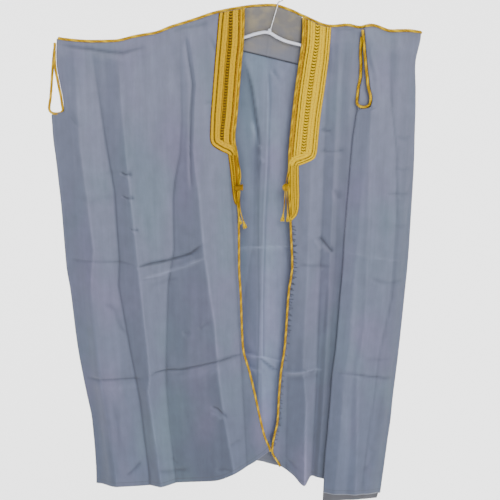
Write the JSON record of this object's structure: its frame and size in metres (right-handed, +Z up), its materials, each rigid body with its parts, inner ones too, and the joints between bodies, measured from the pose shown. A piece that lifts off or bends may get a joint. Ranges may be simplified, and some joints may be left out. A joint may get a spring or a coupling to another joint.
{
  "type": "bisht cloak and hanger",
  "caption": "Wide open cloak of thin plain cloth with gold braid beside the neck, gold edge cords, tasselled ties and hand openings, on a plain hanger with a hook.",
  "frame": {"origin": "inside top of the hanger's hook, where it bears on a rod", "axes": "+Z up, the cloak's front faces -Y, +X to the right of someone who looks at the front"},
  "size_m": [1.0062, 0.0604, 1.5544],
  "materials": {
    "cloth": "plain thin woven cloth, slightly sheer",
    "facing": "plain woven",
    "braid": "metallic thread",
    "cord": "metallic thread",
    "plastic": "semi-gloss",
    "steel": "plated wire"
  },
  "bodies": {
    "root": {"front_left": "cloth", "front_right": "cloth", "back": "cloth", "back_yoke": "facing", "band_left": "braid", "band_right": "braid", "strip_left": "braid", "strip_right": "braid", "shoulder_cord_left": "cord", "shoulder_cord_right": "cord", "neck_cord": "cord", "front_cord_left": "cord", "front_cord_right": "cord", "hand_cord_left": "cord", "hand_cord_right": "cord", "tie_cord_left": "cord", "tie_ball_left": "cord", "tie_tail_left_a": "cord", "tie_tail_left_b": "cord", "tie_tuft_left_a": "cord", "tie_tuft_left_b": "cord", "tie_cord_right": "cord", "tie_ball_right": "cord", "tie_tail_right_a": "cord", "tie_tail_right_b": "cord", "tie_tuft_right_a": "cord", "tie_tuft_right_b": "cord", "hanger_arms": "plastic", "hanger_hook": "steel"}
  },
  "joints": []
}
